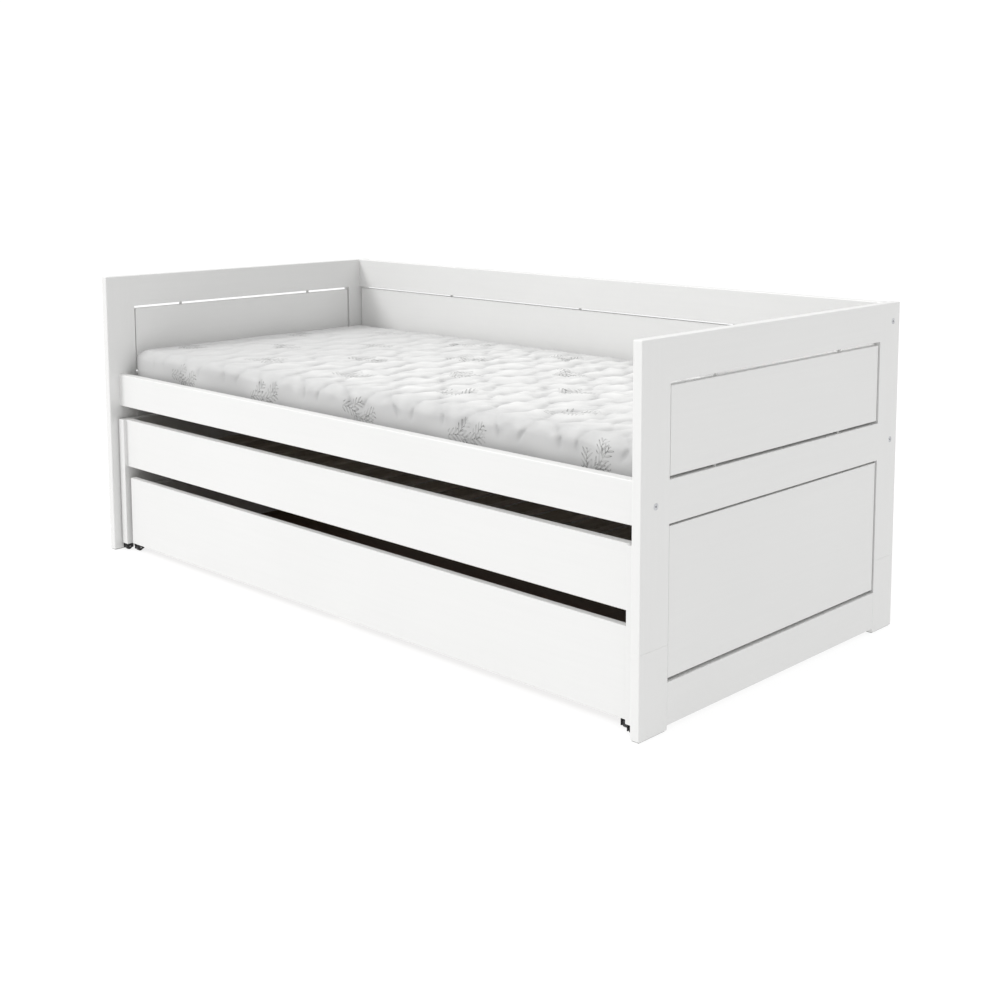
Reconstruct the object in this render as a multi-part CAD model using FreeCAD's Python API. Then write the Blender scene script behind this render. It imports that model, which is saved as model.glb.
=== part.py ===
import FreeCAD
import Part
import math
import os

# Cabin bed with a pull-out guest bed and a storage drawer below it.
# Millimetres. X runs along the bed (the left end is -X), -Y is the open front, +Z is up.
# The origin is on the floor, under the middle of the outer box of the bed.

Vector = FreeCAD.Vector
AXIS_X, AXIS_Y, AXIS_Z = Vector(1, 0, 0), Vector(0, 1, 0), Vector(0, 0, 1)
SIDES = {"left": -1, "right": 1}
ENDS = {"front": -1, "rear": 1}
NEAR = 0.01  # two places closer than this are the same
PARALLEL = 0.999  # least dot product of two directions that count as parallel

# ---------------------------------------------------------------- driving dimensions
# Mattress
MATTRESS_LENGTH = 2000.0
MATTRESS_WIDTH = 895.0
MATTRESS_THICKNESS = 118.7
MATTRESS_CORNER = 30.0
MATTRESS_END_GAP = 12.5
MATTRESS_SIDE_GAP = 6.0
MATTRESS_LIFT = 0.3  # between the slat tapes and the cover

# End frames: two posts on two feet, three rails and two panels
BED_HEIGHT = 832.5
END_THICKNESS = 25.0
POST_WIDTH = 92.0
FOOT_HEIGHT = 187.0  # floor to the seam between foot and post
GLIDE_THICKNESS = 3.0
GLIDE_MARGIN = 3.5
FRAME_RAIL_HEIGHT = 93.0
BOTTOM_RAIL_Z = 12.5
MIDDLE_RAIL_Z = 443.5
PANEL_THICKNESS = 20.0
UPPER_PANEL_SIDE_GAP = 5.0
UPPER_PANEL_TOP_GAP = 8.5
UPPER_PANEL_BOTTOM_GAP = 6.5
LOWER_PANEL_SIDE_GAP = 4.0
LOWER_PANEL_TOP_GAP = 5.5
LOWER_PANEL_BOTTOM_GAP = 8.0
BACK_PANEL_GAP = 6.0  # on all four sides
EDGE_ROUND = 3.0
ARRIS = 1.0
SEAM_CHAMFER = 0.6

# Long rails
SIDE_RAIL_THICKNESS = 28.0
SIDE_RAIL_HEIGHT = 94.0
SIDE_RAIL_Z = 442.0
FRONT_SETBACK = 34.0  # rail face behind the front edge of the end frames
REAR_SETBACK = 18.0

# Slats
SLAT_WIDTH = 68.0
SLAT_THICKNESS = 18.0
SLAT_COUNT = 17
SLAT_END_MARGIN = 24.0
SLAT_SIDE_GAP = 2.0
SLAT_TOP_Z = 490.0
LEDGER_WIDTH = 25.0
LEDGER_HEIGHT = 28.0
LEDGER_END_GAP = 15.0
TAPE_WIDTH = 25.0
TAPE_THICKNESS = 1.0
TAPE_INSET = 150.0  # from the end of the slats to the middle of the tape

# Fasteners
DOWEL_RADIUS = 4.0
DOWEL_LENGTH = 36.0
DOWEL_FIT = 0.05
DOWEL_END_ROOM = 1.0
DOWEL_PITCH = 48.0
PANEL_DOWEL_SPREAD = 492.0  # between the two dowels of an end panel
BACK_DOWEL_SPREAD = 560.0  # between neighbouring dowels of the back panel
BOLT_RADIUS = 3.0
BOLT_LENGTH = 70.0
BOLT_HEAD_RADIUS = 7.5
BOLT_HEAD_THICKNESS = 3.0
BOLT_HEAD_FIT = 0.15
BOLT_HOLE_ROOM = 0.5
BOLT_HOLE_END = 2.0  # hole past the tip of the bolt
KEY_FLATS = 4.0  # across the flats of the key socket
KEY_DEPTH = 2.5
BARREL_RADIUS = 5.0
BARREL_LENGTH = 14.0
BARREL_ROOM = 0.1
BOLT_TIP = 8.0  # bolt past the middle of the barrel nut
BOLT_DROP = 1.0  # bolt below the middle of a side rail
SCREW_RADIUS = 2.0
SCREW_HEAD_RADIUS = 4.0
SCREW_LENGTH = 42.0
SCREW_HEAD_DEPTH = 2.4
SCREW_FIT = 0.05
SCREW_HOLE_END = 1.0  # hole past the tip of the screw
LEDGER_SCREW_COUNT = 7
SCREW_END_MARGIN = 80.0

# Guest bed: side boards on wheels, front and rear panels between them
GUEST_END_GAP = 5.0
GUEST_BOARD = 27.0
GUEST_BOARD_Z = 20.0
GUEST_TOP_Z = 402.5
GUEST_BOARD_PROUD = 10.0  # board edge in front of its panels
GUEST_REAR_GAP = 17.5
GUEST_PANEL = 22.0
GUEST_PANEL_Z = 260.0
GUEST_LEDGER_WIDTH = 22.0
GUEST_LEDGER_HEIGHT = 28.0
GUEST_LEDGER_RISE = 2.0
GUEST_SLAT_THICKNESS = 14.0
GUEST_BOLT_RISE = 40.0
GUEST_BOLT_PITCH = 66.0

# Drawer
DRAWER_SIDE_GAP = 11.0
DRAWER_OFFSET = 4.0  # the loose drawer stands this far to the right of the middle
DRAWER_FRONT = 18.0
DRAWER_TOP_Z = 226.0
DRAWER_WALL = 16.0
DRAWER_WALL_TOP_Z = 200.0
DRAWER_FRONT_OVERHANG = 4.0
DRAWER_REAR_GAP = 30.0  # drawer back to the rear edge of the guest bed
DRAWER_BOTTOM = 6.0
BATTEN_WIDTH = 60.0
BATTEN_HEIGHT = 10.0

# Wheels
WHEEL_RADIUS = 10.0
WHEEL_LIFT = 0.3  # the bed stands on its glides; the wheels just clear the floor
WHEEL_WIDTH = 12.0
WHEEL_ROUND = 1.5
WHEEL_RIM = 2.8
HUB_RADIUS = 4.0
HUB_RECESS = 1.5
AXLE_RADIUS = 2.0
AXLE_FIT = 0.1
CHEEK = 2.2
CHEEK_GAP = 0.6
WHEEL_TOP_GAP = 1.5
HOUSING_ROOF = 2.2
HOUSING_OVERHANG = 1.0  # housing past the wheel at the front and at the back
HOUSING_FIT = 0.1
HOUSING_CLEAR_Z = 6.0  # lowest point of a housing above the floor
GUEST_WHEEL_INSET = 0.5  # board edge to housing
PLATE_THICKNESS = 3.0
PLATE_WIDTH = 45.0
PLATE_LENGTH = 30.0
DRAWER_WHEEL_SETBACK = 16.5  # face of the drawer front to the front wheel axis
DRAWER_REAR_WHEEL_SETBACK = 15.0  # drawer back to the rear wheel axis
DRAWER_WHEEL_INSET = 9.0  # edge of the drawer front to the middle of the wheel

# ---------------------------------------------------------------- places worked out from them
INNER_LENGTH = MATTRESS_LENGTH + 2 * MATTRESS_END_GAP
END_INNER_X = INNER_LENGTH / 2
END_OUTER_X = END_INNER_X + END_THICKNESS
RAIL_GAP = MATTRESS_WIDTH + 2 * MATTRESS_SIDE_GAP
BED_DEPTH = FRONT_SETBACK + REAR_SETBACK + 2 * SIDE_RAIL_THICKNESS + RAIL_GAP
FRONT_Y, REAR_Y = -BED_DEPTH / 2, BED_DEPTH / 2
POST_INNER_Y = REAR_Y - POST_WIDTH
FRONT_RAIL_Y = FRONT_Y + FRONT_SETBACK
REAR_RAIL_Y = REAR_Y - REAR_SETBACK - SIDE_RAIL_THICKNESS
BED_MIDDLE_Y = (FRONT_RAIL_Y + SIDE_RAIL_THICKNESS + REAR_RAIL_Y) / 2
TOP_RAIL_Z = BED_HEIGHT - FRAME_RAIL_HEIGHT
BOTTOM_RAIL_TOP = BOTTOM_RAIL_Z + FRAME_RAIL_HEIGHT
MIDDLE_RAIL_TOP = MIDDLE_RAIL_Z + FRAME_RAIL_HEIGHT
SIDE_RAIL_TOP = SIDE_RAIL_Z + SIDE_RAIL_HEIGHT
LOWER_PANEL_Z = (BOTTOM_RAIL_TOP + LOWER_PANEL_BOTTOM_GAP, MIDDLE_RAIL_Z - LOWER_PANEL_TOP_GAP)
UPPER_PANEL_Z = (MIDDLE_RAIL_TOP + UPPER_PANEL_BOTTOM_GAP, TOP_RAIL_Z - UPPER_PANEL_TOP_GAP)
BACK_PANEL_Z = (SIDE_RAIL_TOP + BACK_PANEL_GAP, TOP_RAIL_Z - BACK_PANEL_GAP)
FRAME_RAILS_Z = {"bottom": BOTTOM_RAIL_Z, "middle": MIDDLE_RAIL_Z, "top": TOP_RAIL_Z}
SIDE_BOLT_Z = SIDE_RAIL_Z + SIDE_RAIL_HEIGHT / 2 - BOLT_DROP
TOP_BOLT_Z = TOP_RAIL_Z + FRAME_RAIL_HEIGHT / 2
LONG_RAILS = {
    "front_side_rail": (FRONT_RAIL_Y, SIDE_RAIL_Z, SIDE_RAIL_HEIGHT, SIDE_BOLT_Z),
    "rear_side_rail": (REAR_RAIL_Y, SIDE_RAIL_Z, SIDE_RAIL_HEIGHT, SIDE_BOLT_Z),
    "back_top_rail": (REAR_RAIL_Y, TOP_RAIL_Z, FRAME_RAIL_HEIGHT, TOP_BOLT_Z),
}

GUEST_OUTER_X = END_INNER_X - GUEST_END_GAP
GUEST_INNER_X = GUEST_OUTER_X - GUEST_BOARD
GUEST_FRONT_PANEL_Y = FRONT_RAIL_Y  # flush with the side rail above it
GUEST_FRONT_Y = GUEST_FRONT_PANEL_Y - GUEST_BOARD_PROUD
GUEST_REAR_Y = REAR_Y - GUEST_REAR_GAP
GUEST_REAR_PANEL_Y = GUEST_REAR_Y - GUEST_BOARD_PROUD - GUEST_PANEL
GUEST_PANELS_Y = {"front": GUEST_FRONT_PANEL_Y, "rear": GUEST_REAR_PANEL_Y}
GUEST_BOLTS_Z = (GUEST_PANEL_Z + GUEST_BOLT_RISE, GUEST_PANEL_Z + GUEST_BOLT_RISE + GUEST_BOLT_PITCH)
GUEST_LEDGER_Z = GUEST_PANEL_Z + GUEST_LEDGER_RISE
GUEST_SLAT_Z = GUEST_LEDGER_Z + GUEST_LEDGER_HEIGHT

HOUSING_WIDTH = WHEEL_WIDTH + 2 * (CHEEK + CHEEK_GAP)
HOUSING_LENGTH = 2 * (WHEEL_RADIUS + HOUSING_OVERHANG)
AXLE_Z = WHEEL_LIFT + WHEEL_RADIUS
HOUSING_TOP_Z = AXLE_Z + WHEEL_RADIUS + WHEEL_TOP_GAP + HOUSING_ROOF
GUEST_WHEEL_X = (GUEST_OUTER_X + GUEST_INNER_X) / 2
GUEST_WHEEL_SETBACK = GUEST_WHEEL_INSET + HOUSING_LENGTH / 2
GUEST_WHEELS_Y = {"front": GUEST_FRONT_Y + GUEST_WHEEL_SETBACK, "rear": GUEST_REAR_Y - GUEST_WHEEL_SETBACK}

DRAWER_HALF_WIDTH = GUEST_INNER_X - DRAWER_SIDE_GAP
DRAWER_WALL_X = DRAWER_HALF_WIDTH - DRAWER_FRONT_OVERHANG
DRAWER_FRONT_Y = GUEST_FRONT_PANEL_Y
DRAWER_FRONT_Z = HOUSING_TOP_Z  # the front stands on its wheel housings
DRAWER_BOX_Y = DRAWER_FRONT_Y + DRAWER_FRONT
DRAWER_REAR_Y = GUEST_REAR_Y - DRAWER_REAR_GAP
DRAWER_BOTTOM_Z = HOUSING_TOP_Z + PLATE_THICKNESS
DRAWER_WALL_Z = DRAWER_BOTTOM_Z + DRAWER_BOTTOM
DRAWER_WHEEL_X = DRAWER_HALF_WIDTH - DRAWER_WHEEL_INSET
DRAWER_WHEELS_Y = {
    "front": DRAWER_FRONT_Y + DRAWER_WHEEL_SETBACK,
    "rear": DRAWER_REAR_Y - DRAWER_REAR_WHEEL_SETBACK,
}
PLATES_Y = {
    "front": (DRAWER_BOX_Y, DRAWER_BOX_Y + PLATE_LENGTH),
    "rear": (DRAWER_REAR_Y - PLATE_LENGTH, DRAWER_REAR_Y),
}


# ---------------------------------------------------------------- helpers
def box(x, y, z):
    """A box between two places on each axis, in either order."""
    low = Vector(min(x), min(y), min(z))
    return Part.makeBox(max(x) - low.x, max(y) - low.y, max(z) - low.z, low)


def rod(centre, axis, radius, length):
    """A round bar centred on a point."""
    return Part.makeCylinder(radius, length, centre - axis * (length / 2), axis)


def runs_along(edge, axis):
    """True for a straight edge that lies along the axis."""
    is_straight = edge.Curve.TypeId == "Part::GeomLine"
    return is_straight and abs(edge.tangentAt(edge.FirstParameter).dot(axis)) > PARALLEL


def rounded(solid, radius, wanted):
    """Rounds the edges that the test picks out."""
    return solid.makeFillet(radius, [edge for edge in solid.Edges if wanted(edge)])


def board(x, y, z, radius=ARRIS):
    """A plain board with every edge eased."""
    solid = box(x, y, z)
    return solid.makeFillet(radius, solid.Edges)


def bored(solid, holes):
    """Takes each hole that reaches the solid out of it."""
    for hole in holes:
        if solid.BoundBox.intersect(hole.BoundBox):
            solid = solid.cut(hole)
    return solid


def single(shape):
    """The one solid of a boolean's result."""
    return shape.Solids[0] if len(shape.Solids) == 1 else shape


def group(solids):
    return Part.makeCompound([single(solid) for solid in solids])


def spread(count, first, last):
    """Evenly spaced places from first to last."""
    return [first + (last - first) * step / (count - 1) for step in range(count)]


# ---------------------------------------------------------------- dowels, bolts and screws
def dowel(place):
    centre, axis = place
    return rod(centre, axis, DOWEL_RADIUS, DOWEL_LENGTH)


def dowel_hole(place):
    centre, axis = place
    return rod(centre, axis, DOWEL_RADIUS + DOWEL_FIT, DOWEL_LENGTH + 2 * DOWEL_END_ROOM)


def end_middle_x(side):
    return side * (END_INNER_X + END_THICKNESS / 2)


def gap_dowel_places():
    """Dowels that show in the gaps over and under the upper panels and the back panel."""
    places = []
    for side in SIDES.values():
        for z in ((MIDDLE_RAIL_TOP + UPPER_PANEL_Z[0]) / 2, (UPPER_PANEL_Z[1] + TOP_RAIL_Z) / 2):
            for y in (-PANEL_DOWEL_SPREAD / 2, PANEL_DOWEL_SPREAD / 2):
                places.append((Vector(end_middle_x(side), y, z), AXIS_Z))
    for z in ((SIDE_RAIL_TOP + BACK_PANEL_Z[0]) / 2, (BACK_PANEL_Z[1] + TOP_RAIL_Z) / 2):
        for x in (-BACK_DOWEL_SPREAD, 0, BACK_DOWEL_SPREAD):
            places.append((Vector(x, REAR_RAIL_Y + SIDE_RAIL_THICKNESS / 2, z), AXIS_Z))
    return places


def frame_dowel_places():
    """Hidden dowels: rails and lower panels to posts, posts to feet, long rails to the end frames."""
    places = []
    lower_panel_middle = sum(LOWER_PANEL_Z) / 2
    for side in SIDES.values():
        x = end_middle_x(side)
        for end in ENDS.values():
            for rail_z in FRAME_RAILS_Z.values():
                middle = rail_z + FRAME_RAIL_HEIGHT / 2
                for z in (middle - DOWEL_PITCH / 2, middle + DOWEL_PITCH / 2):
                    places.append((Vector(x, end * POST_INNER_Y, z), AXIS_Y))
            for z in (lower_panel_middle - DOWEL_PITCH / 2, lower_panel_middle + 2 * DOWEL_PITCH):
                places.append((Vector(x, end * (POST_INNER_Y - LOWER_PANEL_SIDE_GAP / 2), z), AXIS_Y))
            post_middle_y = end * (REAR_Y - POST_WIDTH / 2)
            for y in (post_middle_y - DOWEL_PITCH / 2, post_middle_y + DOWEL_PITCH / 2):
                places.append((Vector(x, y, FOOT_HEIGHT), AXIS_Z))
        for rail_y, _, _, bolt_z in LONG_RAILS.values():
            y = rail_y + SIDE_RAIL_THICKNESS / 2
            for z in (bolt_z - DOWEL_PITCH / 2, bolt_z + DOWEL_PITCH / 2):
                places.append((Vector(side * END_INNER_X, y, z), AXIS_X))
    return places


def key_socket(face, inward):
    """A six-sided hole in the head of a bolt that lies along X."""
    corner_radius = KEY_FLATS / math.sqrt(3)
    angles = [math.pi / 3 * step for step in range(7)]
    corners = [face + (AXIS_Y * math.cos(a) + AXIS_Z * math.sin(a)) * corner_radius for a in angles]
    return Part.Face(Part.makePolygon(corners)).extrude(inward * KEY_DEPTH)


def bolt(face, inward):
    """Connector bolt with a flat socket head let in flush with a face."""
    head = Part.makeCylinder(BOLT_HEAD_RADIUS, BOLT_HEAD_THICKNESS, face, inward)
    shank = Part.makeCylinder(BOLT_RADIUS, BOLT_LENGTH, face, inward)
    return single(head.fuse(shank).cut(key_socket(face, inward)))


def bolt_hole(face, inward):
    head = Part.makeCylinder(BOLT_HEAD_RADIUS + BOLT_HEAD_FIT, BOLT_HEAD_THICKNESS, face, inward)
    shank = Part.makeCylinder(BOLT_RADIUS + BOLT_HOLE_ROOM, BOLT_LENGTH + BOLT_HOLE_END, face, inward)
    return head.fuse(shank)


def barrel_centre(face, inward):
    return face + inward * (BOLT_LENGTH - BOLT_TIP)


def barrel_nut(face, inward):
    """Cross nut with the bolt's thread hole through it."""
    nut = rod(barrel_centre(face, inward), AXIS_Y, BARREL_RADIUS, BARREL_LENGTH)
    return nut.cut(Part.makeCylinder(BOLT_RADIUS + BARREL_ROOM, BOLT_LENGTH + BOLT_HOLE_END, face, inward))


def barrel_hole(face, inward, open_side, board_thickness):
    """Blind hole for a barrel nut, open on the hidden side of the board."""
    centre = barrel_centre(face, inward)
    blind = BARREL_LENGTH / 2 + BARREL_ROOM
    start = centre - AXIS_Y * (open_side * blind)
    return Part.makeCylinder(BARREL_RADIUS + BARREL_ROOM, blind + board_thickness, start, AXIS_Y * open_side)


def frame_bolts():
    """Face point and inward direction of each bolt, with the side its barrel hole opens to."""
    found = []
    for side in SIDES.values():
        for name, (rail_y, _, _, bolt_z) in LONG_RAILS.items():
            face = Vector(side * END_OUTER_X, rail_y + SIDE_RAIL_THICKNESS / 2, bolt_z)
            found.append((face, AXIS_X * -side, -1 if name == "rear_side_rail" else 1))
    return found


def guest_bolts():
    found = []
    for side in SIDES.values():
        for end, panel_y in GUEST_PANELS_Y.items():
            for z in GUEST_BOLTS_Z:
                face = Vector(side * GUEST_OUTER_X, panel_y + GUEST_PANEL / 2, z)
                found.append((face, AXIS_X * -side, -ENDS[end]))
    return found


def screw(face, inward):
    """Countersunk wood screw whose head is flush with a face."""
    head = Part.makeCone(SCREW_HEAD_RADIUS, SCREW_RADIUS, SCREW_HEAD_DEPTH, face, inward)
    return single(head.fuse(Part.makeCylinder(SCREW_RADIUS, SCREW_LENGTH, face, inward)))


def screw_hole(face, inward):
    head_radius, radius = SCREW_HEAD_RADIUS + SCREW_FIT, SCREW_RADIUS + SCREW_FIT
    sink = Part.makeCone(head_radius, radius, SCREW_HEAD_DEPTH, face, inward)
    return sink.fuse(Part.makeCylinder(radius, SCREW_LENGTH + SCREW_HOLE_END, face, inward))


def ledger_screw_faces():
    """Screws through both ledgers of the bed into its side rails."""
    found = []
    z = SLAT_TOP_Z - SLAT_THICKNESS - LEDGER_HEIGHT / 2
    reach = END_INNER_X - LEDGER_END_GAP - SCREW_END_MARGIN
    for x in spread(LEDGER_SCREW_COUNT, -reach, reach):
        found.append((Vector(x, FRONT_RAIL_Y + SIDE_RAIL_THICKNESS + LEDGER_WIDTH, z), AXIS_Y * -1))
        found.append((Vector(x, REAR_RAIL_Y - LEDGER_WIDTH, z), AXIS_Y))
    return found


# ---------------------------------------------------------------- end frames
def end_frame(side_name, holes):
    """The nine wooden pieces of one end."""
    side = SIDES[side_name]
    x = (side * END_INNER_X, side * END_OUTER_X)
    pieces = {}
    for end_name, end in ENDS.items():
        pieces[f"{side_name}_{end_name}_post"] = post(x, end)
        pieces[f"{side_name}_{end_name}_foot"] = foot(x, end)
    for rail_name, rail_z in FRAME_RAILS_Z.items():
        pieces[f"{side_name}_{rail_name}_rail"] = frame_rail(x, rail_name, rail_z)
    middle_x = end_middle_x(side)
    panel_x = (middle_x - PANEL_THICKNESS / 2, middle_x + PANEL_THICKNESS / 2)
    upper_reach = POST_INNER_Y - UPPER_PANEL_SIDE_GAP
    lower_reach = POST_INNER_Y - LOWER_PANEL_SIDE_GAP
    pieces[f"{side_name}_upper_panel"] = board(panel_x, (-upper_reach, upper_reach), UPPER_PANEL_Z)
    pieces[f"{side_name}_lower_panel"] = board(panel_x, (-lower_reach, lower_reach), LOWER_PANEL_Z)
    return {name: single(bored(piece, holes)) for name, piece in pieces.items()}


def post(x, end):
    solid = box(x, (end * REAR_Y, end * POST_INNER_Y), (FOOT_HEIGHT, BED_HEIGHT))
    above_seam = FOOT_HEIGHT + SEAM_CHAMFER
    solid = rounded(solid, EDGE_ROUND, lambda e: on_outline(e, end) and e.CenterOfMass.z > above_seam)
    return seam_chamfered(solid, FOOT_HEIGHT)


def foot(x, end):
    solid = box(x, (end * REAR_Y, end * POST_INNER_Y), (GLIDE_THICKNESS, FOOT_HEIGHT))
    solid = rounded(solid, EDGE_ROUND, lambda e: on_outline(e, end) and runs_along(e, AXIS_Z))
    return seam_chamfered(solid, FOOT_HEIGHT)


def frame_rail(x, rail_name, rail_z):
    """A cross rail: the top one is rounded like the posts, the others are eased."""
    top = rail_z + FRAME_RAIL_HEIGHT
    solid = box(x, (-POST_INNER_Y, POST_INNER_Y), (rail_z, top))
    top_round = EDGE_ROUND if rail_name == "top" else ARRIS
    for z, radius in ((top, top_round), (rail_z, ARRIS)):
        solid = rounded(solid, radius, lambda e: runs_along(e, AXIS_Y) and abs(e.CenterOfMass.z - z) < NEAR)
    if rail_name == "bottom":
        solid = solid.makeChamfer(SEAM_CHAMFER, [e for e in solid.Edges if runs_along(e, AXIS_Z)])
    return solid


def on_outline(edge, end):
    """True for the edges of a post or foot that lie on the outline of the end frame."""
    middle = edge.CenterOfMass
    on_outer_edge = abs(middle.y - end * REAR_Y) < NEAR
    on_top = abs(middle.z - BED_HEIGHT) < NEAR
    at_rail = abs(middle.y - end * POST_INNER_Y) < NEAR
    return (on_outer_edge or on_top) and not at_rail


def seam_chamfered(solid, z):
    """A fine chamfer round the seam between a post and its foot."""
    return solid.makeChamfer(SEAM_CHAMFER, [e for e in solid.Edges if abs(e.CenterOfMass.z - z) < NEAR])


def foot_glides():
    glides = []
    for side in SIDES.values():
        x = (side * (END_INNER_X + GLIDE_MARGIN), side * (END_OUTER_X - GLIDE_MARGIN))
        for end in ENDS.values():
            y = (end * (REAR_Y - GLIDE_MARGIN), end * (REAR_Y - POST_WIDTH + GLIDE_MARGIN))
            glides.append(box(x, y, (0, GLIDE_THICKNESS)))
    return glides


# ---------------------------------------------------------------- long rails, back and bed base
def long_rail(name, holes):
    rail_y, rail_z, height, _ = LONG_RAILS[name]
    top = rail_z + height
    rail = box((-END_INNER_X, END_INNER_X), (rail_y, rail_y + SIDE_RAIL_THICKNESS), (rail_z, top))
    for z, radius in ((top, EDGE_ROUND), (rail_z, ARRIS)):
        rail = rounded(rail, radius, lambda e: runs_along(e, AXIS_X) and abs(e.CenterOfMass.z - z) < NEAR)
    return single(bored(rail, holes))


def back_panel(holes):
    middle_y = REAR_RAIL_Y + SIDE_RAIL_THICKNESS / 2
    x = (-END_INNER_X + BACK_PANEL_GAP, END_INNER_X - BACK_PANEL_GAP)
    panel = board(x, (middle_y - PANEL_THICKNESS / 2, middle_y + PANEL_THICKNESS / 2), BACK_PANEL_Z)
    return single(bored(panel, holes))


def slat_run(half_length, y, z, thickness):
    """Evenly spaced slats across a bed whose inside is two half lengths long."""
    reach = half_length - SLAT_END_MARGIN - SLAT_WIDTH / 2
    slats = []
    for x in spread(SLAT_COUNT, -reach, reach):
        slats.append(board((x - SLAT_WIDTH / 2, x + SLAT_WIDTH / 2), y, (z, z + thickness), 2 * ARRIS))
    return slats


def tapes(half_length, y, z):
    """Two webbing tapes over the slats."""
    reach = half_length - SLAT_END_MARGIN
    found = []
    for middle in (min(y) + TAPE_INSET, max(y) - TAPE_INSET):
        tape_y = (middle - TAPE_WIDTH / 2, middle + TAPE_WIDTH / 2)
        found.append(box((-reach, reach), tape_y, (z, z + TAPE_THICKNESS)))
    return found


def bed_base(holes):
    rail_inner = (FRONT_RAIL_Y + SIDE_RAIL_THICKNESS, REAR_RAIL_Y)
    ledger_z = (SLAT_TOP_Z - SLAT_THICKNESS - LEDGER_HEIGHT, SLAT_TOP_Z - SLAT_THICKNESS)
    ledger_x = (-END_INNER_X + LEDGER_END_GAP, END_INNER_X - LEDGER_END_GAP)
    front = box(ledger_x, (rail_inner[0], rail_inner[0] + LEDGER_WIDTH), ledger_z)
    rear = box(ledger_x, (rail_inner[1] - LEDGER_WIDTH, rail_inner[1]), ledger_z)
    slat_y = (rail_inner[0] + SLAT_SIDE_GAP, rail_inner[1] - SLAT_SIDE_GAP)
    return {
        "front_slat_ledger": single(bored(front, holes)),
        "rear_slat_ledger": single(bored(rear, holes)),
        "bed_slats": group(slat_run(END_INNER_X, slat_y, SLAT_TOP_Z - SLAT_THICKNESS, SLAT_THICKNESS)),
        "bed_slat_tapes": group(tapes(END_INNER_X, slat_y, SLAT_TOP_Z)),
    }


def mattress():
    z = SLAT_TOP_Z + TAPE_THICKNESS + MATTRESS_LIFT
    half_width = MATTRESS_WIDTH / 2
    block = box(
        (-MATTRESS_LENGTH / 2, MATTRESS_LENGTH / 2),
        (BED_MIDDLE_Y - half_width, BED_MIDDLE_Y + half_width),
        (z, z + MATTRESS_THICKNESS),
    )
    return rounded(block, MATTRESS_CORNER, lambda e: runs_along(e, AXIS_Z))


# ---------------------------------------------------------------- wheels
def axle_hole(x, y, length):
    return rod(Vector(x, y, AXLE_Z), AXIS_X, AXLE_RADIUS + AXLE_FIT, length)


def wheel(x, y):
    """A moulded wheel with rounded shoulders and a raised hub, bored for its axle."""
    solid = rod(Vector(x, y, AXLE_Z), AXIS_X, WHEEL_RADIUS, WHEEL_WIDTH)
    solid = rounded(solid, WHEEL_ROUND, lambda e: not e.Curve.TypeId == "Part::GeomLine")
    for way in SIDES.values():
        face = Vector(x + way * WHEEL_WIDTH / 2, y, AXLE_Z)
        dish = Part.makeCylinder(WHEEL_RADIUS - WHEEL_RIM, HUB_RECESS, face, AXIS_X * -way)
        hub = Part.makeCylinder(HUB_RADIUS, HUB_RECESS, face, AXIS_X * -way)
        solid = solid.cut(dish.cut(hub))
    return single(solid.cut(axle_hole(x, y, WHEEL_WIDTH)))


def housing(x, y):
    """A fork over the wheel: two cheeks and a roof."""
    half = HOUSING_WIDTH / 2
    length = (y - HOUSING_LENGTH / 2, y + HOUSING_LENGTH / 2)
    block = box((x - half, x + half), length, (HOUSING_CLEAR_Z, HOUSING_TOP_Z))
    room = box((x - half + CHEEK, x + half - CHEEK), length, (HOUSING_CLEAR_Z, HOUSING_TOP_Z - HOUSING_ROOF))
    return single(block.cut(room).cut(axle_hole(x, y, HOUSING_WIDTH)))


def axle(x, y):
    return rod(Vector(x, y, AXLE_Z), AXIS_X, AXLE_RADIUS, HOUSING_WIDTH)


def wheel_places(half_x, ys):
    """Side and end names with the place of each of four wheels."""
    return {(name, end): (side * half_x, y) for name, side in SIDES.items() for end, y in ys.items()}


# ---------------------------------------------------------------- guest bed
def guest_board(side_name, holes):
    """Side board with a slot at each lower corner for a wheel housing."""
    side = SIDES[side_name]
    x = (side * GUEST_INNER_X, side * GUEST_OUTER_X)
    solid = board(x, (GUEST_FRONT_Y, GUEST_REAR_Y), (GUEST_BOARD_Z, GUEST_TOP_Z))
    half = HOUSING_WIDTH / 2 + HOUSING_FIT
    reach = HOUSING_LENGTH / 2 + HOUSING_FIT
    middle = side * GUEST_WHEEL_X
    for y in GUEST_WHEELS_Y.values():
        solid = solid.cut(box((middle - half, middle + half), (y - reach, y + reach), (0, HOUSING_TOP_Z)))
    return single(bored(solid, holes))


def guest_panel(end_name, holes):
    y = GUEST_PANELS_Y[end_name]
    panel = box((-GUEST_INNER_X, GUEST_INNER_X), (y, y + GUEST_PANEL), (GUEST_PANEL_Z, GUEST_TOP_Z))
    panel = rounded(panel, ARRIS, lambda e: runs_along(e, AXIS_X))
    return single(bored(panel, holes))


def guest_base():
    inner_y = (GUEST_FRONT_PANEL_Y + GUEST_PANEL, GUEST_REAR_PANEL_Y)
    z = (GUEST_LEDGER_Z, GUEST_LEDGER_Z + GUEST_LEDGER_HEIGHT)
    x = (-GUEST_INNER_X + LEDGER_END_GAP, GUEST_INNER_X - LEDGER_END_GAP)
    ledgers = [
        box(x, (inner_y[0], inner_y[0] + GUEST_LEDGER_WIDTH), z),
        box(x, (inner_y[1] - GUEST_LEDGER_WIDTH, inner_y[1]), z),
    ]
    slat_y = (inner_y[0] + SLAT_SIDE_GAP, inner_y[1] - SLAT_SIDE_GAP)
    slats = slat_run(GUEST_INNER_X, slat_y, GUEST_SLAT_Z, GUEST_SLAT_THICKNESS)
    return {
        "guest_slat_ledgers": group(ledgers),
        "guest_slats": group(slats),
        "guest_slat_tapes": group(tapes(GUEST_INNER_X, slat_y, GUEST_SLAT_Z + GUEST_SLAT_THICKNESS)),
    }


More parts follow.
